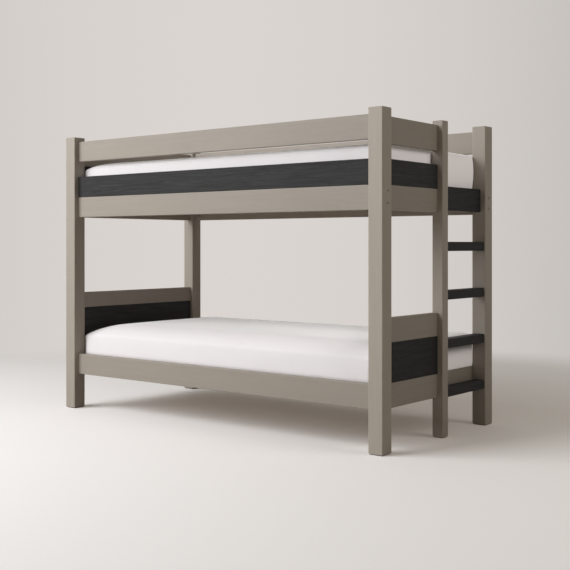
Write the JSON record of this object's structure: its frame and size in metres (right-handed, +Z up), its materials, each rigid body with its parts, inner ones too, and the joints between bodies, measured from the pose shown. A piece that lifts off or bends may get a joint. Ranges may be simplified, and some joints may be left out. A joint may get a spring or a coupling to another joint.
{
  "type": "bunk bed",
  "caption": "Straight bunk bed with parallel single berths, square posts, dark mattress rails and panels, and an end ladder.",
  "frame": {"origin": "on the floor, in the middle of the footprint", "axes": "+X along the bed from the head end to the foot end with the ladder, -Y towards the open front, +Z up"},
  "size_m": [2.13, 1.03, 1.525],
  "materials": {
    "greige_paint": "matt greige paint over fine wood grain",
    "black_stain": "black stain with the horizontal grain showing",
    "pine_slats": "bare planed pine",
    "beech_dowels": "bare beech",
    "zinc_steel": "zinc plated",
    "greige_caps": "matt, in the colour of the posts",
    "glide_plastic": "matt black",
    "mattress_cover": "smooth white fitted cotton cover"
  },
  "bodies": {
    "frame": {"post_front_left": "greige_paint", "post_front_right": "greige_paint", "post_back_left": "greige_paint", "post_back_right": "greige_paint", "ladder_post": "greige_paint", "floor_glides": "glide_plastic", "upper_front_guard_rail": "greige_paint", "upper_front_dark_rail": "black_stain", "upper_front_side_rail": "greige_paint", "upper_back_guard_rail": "greige_paint", "upper_back_dark_rail": "black_stain", "upper_back_side_rail": "greige_paint", "upper_head_guard_rail": "greige_paint", "upper_head_panel": "black_stain", "upper_head_end_rail": "greige_paint", "upper_foot_guard_rail": "greige_paint", "upper_foot_dark_rail": "black_stain", "upper_foot_end_rail": "greige_paint", "entry_board": "black_stain", "upper_cross_rail": "greige_paint", "lower_front_side_rail": "greige_paint", "lower_back_side_rail": "greige_paint", "lower_head_top_board": "greige_paint", "lower_head_panel": "black_stain", "lower_head_end_rail": "greige_paint", "lower_foot_top_board": "greige_paint", "lower_foot_panel": "black_stain", "lower_foot_end_rail": "greige_paint", "lower_cross_rail": "greige_paint", "ladder_rung_1": "black_stain", "ladder_rung_2": "black_stain", "ladder_rung_3": "black_stain", "ladder_rung_4": "black_stain", "upper_front_ledger": "pine_slats", "upper_back_ledger": "pine_slats", "lower_front_ledger": "pine_slats", "lower_back_ledger": "pine_slats", "upper_slats": "pine_slats", "lower_slats": "pine_slats", "upper_slat_screws": "zinc_steel", "lower_slat_screws": "zinc_steel", "ledger_screws": "zinc_steel", "upper_rail_bolts": "zinc_steel", "lower_rail_bolts": "zinc_steel", "cross_dowel_nuts": "zinc_steel", "lower_bolt_caps": "greige_caps", "long_rail_dowels": "beech_dowels", "head_end_dowels": "beech_dowels", "foot_end_dowels": "beech_dowels", "rung_dowels": "beech_dowels", "cross_rail_dowels": "beech_dowels"},
    "upper_mattress": {"upper_mattress": "mattress_cover"},
    "lower_mattress": {"lower_mattress": "mattress_cover"}
  },
  "joints": [
    {"name": "upper_mattress_lift", "type": "slide", "parent": "frame", "child": "upper_mattress", "axis": [0, 0, 1], "range_m": [0, 0.3]},
    {"name": "lower_mattress_lift", "type": "slide", "parent": "frame", "child": "lower_mattress", "axis": [0, 0, 1], "range_m": [0, 0.3]}
  ]
}
